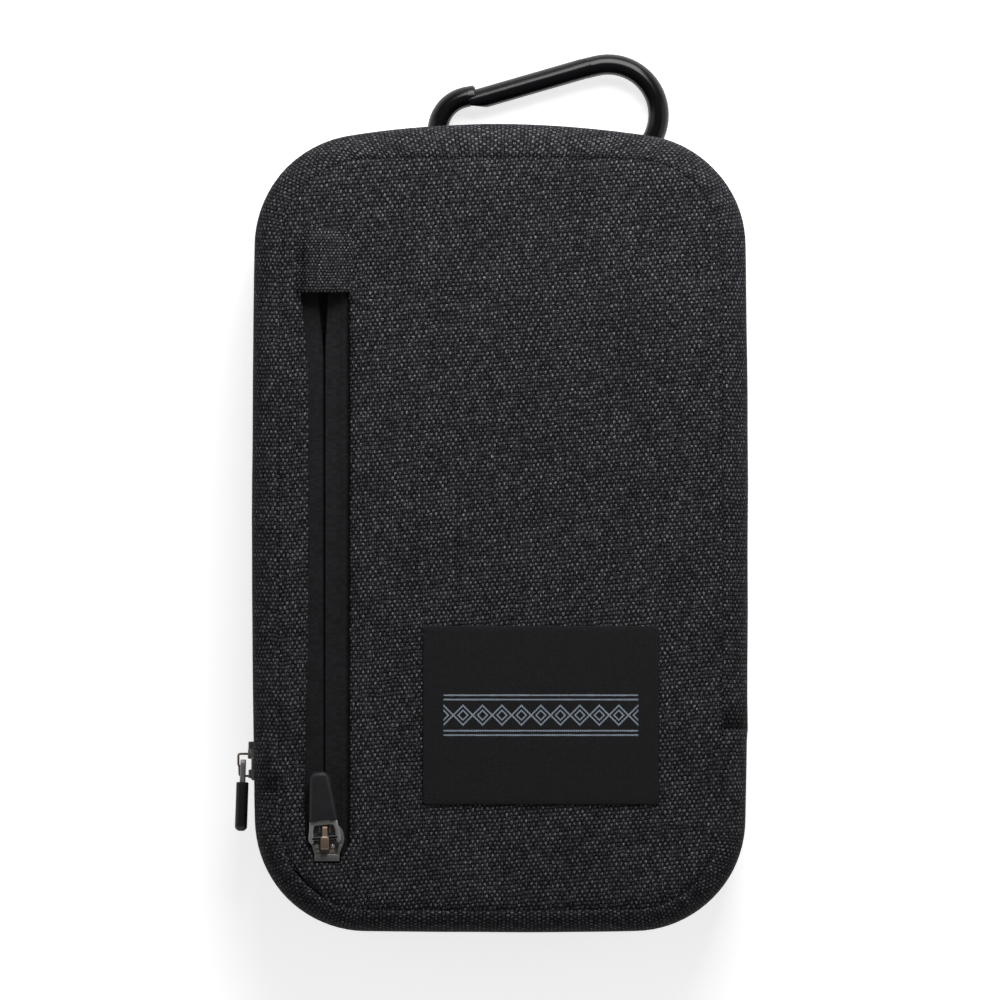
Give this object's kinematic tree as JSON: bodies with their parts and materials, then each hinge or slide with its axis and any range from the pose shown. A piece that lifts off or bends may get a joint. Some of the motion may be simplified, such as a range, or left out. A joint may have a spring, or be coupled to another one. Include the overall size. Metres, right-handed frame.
{
  "type": "phone pouch",
  "caption": "Zipped padded pouch for a phone, with a zipped card pocket and a woven label on the front, a webbing loop on the back and a swinging snap hook with a sprung gate.",
  "frame": {"origin": "centre of the flat back face", "axes": "+Y along the pouch towards the snap hook, +Z out of the front face, +X to the right when the front is looked at with the hook up"},
  "size_m": [0.1056, 0.1807, 0.0349],
  "materials": {
    "canvas": "heathered charcoal canvas",
    "foam": "grey foam board",
    "lining": "plain dark lining cloth",
    "zip_tape": "black coated tape",
    "zip_coil": "black nylon coil",
    "label": "flat black woven label",
    "thread": "black thread",
    "webbing": "black webbing",
    "slider_metal": "gunmetal",
    "bridge_metal": "copper-coloured",
    "sleeve_rubber": "matte black",
    "hook_lacquer": "gloss black lacquer",
    "pin_steel": "bare steel"
  },
  "bodies": {
    "back": {"back_panel": "canvas", "back_yoke": "canvas", "back_foam": "foam", "back_lining": "lining", "back_band": "canvas", "back_lower_band": "canvas", "back_zip_tape": "zip_tape", "back_zip_coil": "zip_coil", "back_zip_stops": "slider_metal", "hinge_tape": "lining", "left_gusset": "lining", "right_gusset": "lining", "hang_strap": "webbing", "strap_bartacks": "thread"},
    "cover": {"front_panel": "canvas", "front_foam": "foam", "front_lining": "lining", "front_band": "canvas", "front_lower_band": "canvas", "front_zip_tape": "zip_tape", "front_zip_coil": "zip_coil", "front_zip_stops": "slider_metal", "label_patch": "label", "pocket_garage": "canvas", "pocket_tape_left": "zip_tape", "pocket_tape_right": "zip_tape", "pocket_coil_left": "zip_coil", "pocket_coil_right": "zip_coil", "pocket_zip_stops": "slider_metal", "pocket_bag": "lining"},
    "main_slider": {"main_slider_body": "slider_metal", "main_slider_bridge": "bridge_metal"},
    "main_pull": {"main_pull_ring": "slider_metal", "main_pull_sleeve": "sleeve_rubber"},
    "pocket_slider": {"pocket_slider_body": "slider_metal", "pocket_slider_bridge": "bridge_metal"},
    "pocket_pull": {"pocket_pull_ring": "slider_metal", "pocket_pull_sleeve": "sleeve_rubber"},
    "hook": {"hook_body": "hook_lacquer", "gate_pin": "pin_steel"},
    "gate": {"hook_gate": "hook_lacquer", "gate_spring": "pin_steel"}
  },
  "joints": [
    {"name": "cover_hinge", "type": "hinge", "parent": "back", "child": "cover", "pos_m": [0, -0.0831, 0.0125], "axis": [1, 0, 0], "range_deg": [0, 35], "deforming": ["hinge_tape", "left_gusset", "right_gusset"]},
    {"name": "main_slide", "type": "slide", "parent": "back", "child": "main_slider", "axis": [0, 1, 0], "range_m": [0, 0.092]},
    {"name": "main_pull_swing", "type": "hinge", "parent": "main_slider", "child": "main_pull", "pos_m": [-0.05285, -0.0487, 0.0125], "axis": [0, 0, -1], "range_deg": [-2, 160]},
    {"name": "pocket_slide", "type": "slide", "parent": "cover", "child": "pocket_slider", "axis": [0, 1, 0], "range_m": [0, 0.103]},
    {"name": "pocket_pull_swing", "type": "hinge", "parent": "pocket_slider", "child": "pocket_pull", "pos_m": [-0.036, -0.0636, 0.0256], "axis": [0.9962, 0.0872, 0], "range_deg": [0, 165]},
    {"name": "hook_swing", "type": "hinge", "parent": "back", "child": "hook", "pos_m": [0.0083, 0.0748, -0.00335], "axis": [1, 0, 0], "range_deg": [-170, 6]},
    {"name": "gate_swing", "type": "hinge", "parent": "hook", "child": "gate", "pos_m": [0.01676, 0.09457, -0.00335], "axis": [0, 0, 1], "range_deg": [0, 20], "stiffness_Nm_per_rad": 0.02, "springref_deg": -28.65}
  ]
}
